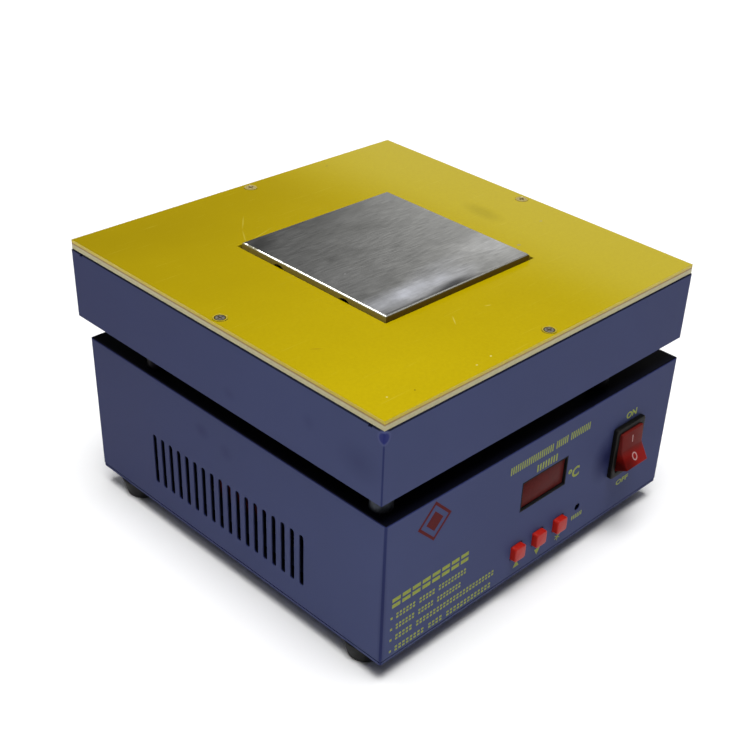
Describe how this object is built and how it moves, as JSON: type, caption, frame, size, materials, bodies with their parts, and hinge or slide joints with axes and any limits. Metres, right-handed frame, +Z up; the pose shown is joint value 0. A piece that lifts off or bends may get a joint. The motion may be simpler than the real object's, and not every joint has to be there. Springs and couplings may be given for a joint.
{
  "type": "soldering hot plate",
  "caption": "Square bench hot plate for soldering: yellow board round an aluminium heater plate, on a blue sheet-metal control case with display, keys and rocker switch.",
  "frame": {"origin": "on the bench under the middle of the whole object's box", "axes": "+Z up from the bench, front panel faces -Y, +X to the right seen from the front"},
  "size_m": [0.2015, 0.209, 0.1354],
  "materials": {
    "board_yellow": "yellow lacquer on laminate board, semi-gloss",
    "board_cream": "cream laminate, sawn edge",
    "plate_aluminium": "ground, heat-clouded",
    "heater_steel": "drawn tube",
    "ceramic": "unglazed ceramic",
    "mica": "mica sheet",
    "ceramic_fibre": "pressed fibre",
    "blue_powder_coat": "semi-gloss powder coat",
    "black_rubber": "matt",
    "sleeve_fibre": "woven glass sleeve",
    "lead_insulation": "extruded",
    "screw_steel": "zinc plated",
    "plated_steel": "nickel plated, bright",
    "circuit_board": "solder resist",
    "brass": "turned",
    "black_plastic": "moulded, satin",
    "red_filter": "clear tinted acrylic",
    "red_plastic": "moulded, gloss",
    "rocker_red": "translucent, gloss",
    "blue_plastic": "moulded",
    "white_plastic": "moulded",
    "green_plastic": "moulded",
    "core_steel": "varnished laminations",
    "red_tape": "polyester winding tape",
    "fuse_glass": "glass tube, nickel caps",
    "grey_cable": "flat ribbon"
  },
  "bodies": {
    "housing": {"top_board": "board_yellow", "backing_board": "board_cream", "board_screws": "screw_steel", "heater_plate": "plate_aluminium", "cartridge_heaters": "heater_steel", "temperature_probe": "heater_steel", "plate_posts": "ceramic", "mica_washers": "mica", "plate_screws": "screw_steel", "insulation_pad": "ceramic_fibre", "insulation_ring": "ceramic_fibre", "upper_case": "blue_powder_coat", "wire_grommets": "black_rubber", "wire_sleeve": "sleeve_fibre", "heater_leads": "lead_insulation", "probe_lead": "lead_insulation", "standoffs": "plated_steel", "standoff_screws": "screw_steel", "standoff_nuts": "screw_steel", "lower_case": "blue_powder_coat", "bottom_plate": "blue_powder_coat", "bottom_screws": "screw_steel", "rubber_feet": "black_rubber", "foot_screws": "screw_steel", "foot_nuts": "screw_steel", "control_board": "circuit_board", "board_studs": "brass", "control_screws": "screw_steel", "display_frame": "black_plastic", "display_filter": "red_filter", "display_module": "black_plastic", "key_switches": "black_plastic", "trimmer_body": "blue_plastic", "control_parts": "black_plastic", "switch_housing": "black_plastic", "switch_terminals": "brass", "transformer_core": "core_steel", "transformer_coil": "red_tape", "transformer_screws": "screw_steel", "power_board": "circuit_board", "power_board_posts": "brass", "heatsink": "plate_aluminium", "terminal_block": "green_plastic", "power_parts": "blue_plastic", "inlet_housing": "black_plastic", "inlet_pins": "plated_steel", "inlet_screws": "screw_steel", "earth_stud": "plated_steel", "mains_leads": "lead_insulation", "control_cable": "grey_cable"},
    "power_rocker": {"rocker": "rocker_red"},
    "up_key": {"up_button": "red_plastic", "up_plunger": "black_plastic"},
    "down_key": {"down_button": "red_plastic", "down_plunger": "black_plastic"},
    "set_key": {"set_button": "red_plastic", "set_plunger": "black_plastic"},
    "calibration_rotor": {"trimmer_rotor": "white_plastic"},
    "fuse_holder": {"fuse_drawer": "black_plastic", "fuse": "fuse_glass"}
  },
  "joints": [
    {"name": "rocker_tilt", "type": "hinge", "parent": "housing", "child": "power_rocker", "pos_m": [0.065, -0.0968, 0.0476], "axis": [1, 0, 0], "range_deg": [0, 34]},
    {"name": "up_press", "type": "slide", "parent": "housing", "child": "up_key", "axis": [0, 1, 0], "range_m": [0, 0.0005], "stiffness_N_per_m": 500},
    {"name": "down_press", "type": "slide", "parent": "housing", "child": "down_key", "axis": [0, 1, 0], "range_m": [0, 0.0005], "stiffness_N_per_m": 500},
    {"name": "set_press", "type": "slide", "parent": "housing", "child": "set_key", "axis": [0, 1, 0], "range_m": [0, 0.0005], "stiffness_N_per_m": 500},
    {"name": "calibration_turn", "type": "hinge", "parent": "housing", "child": "calibration_rotor", "pos_m": [0.0322, -0.0913, 0.0273], "axis": [0, 1, 0], "range_deg": [-135, 135]},
    {"name": "fuse_drawer_slide", "type": "slide", "parent": "housing", "child": "fuse_holder", "axis": [0, 1, 0], "range_m": [0, 0.016]}
  ]
}
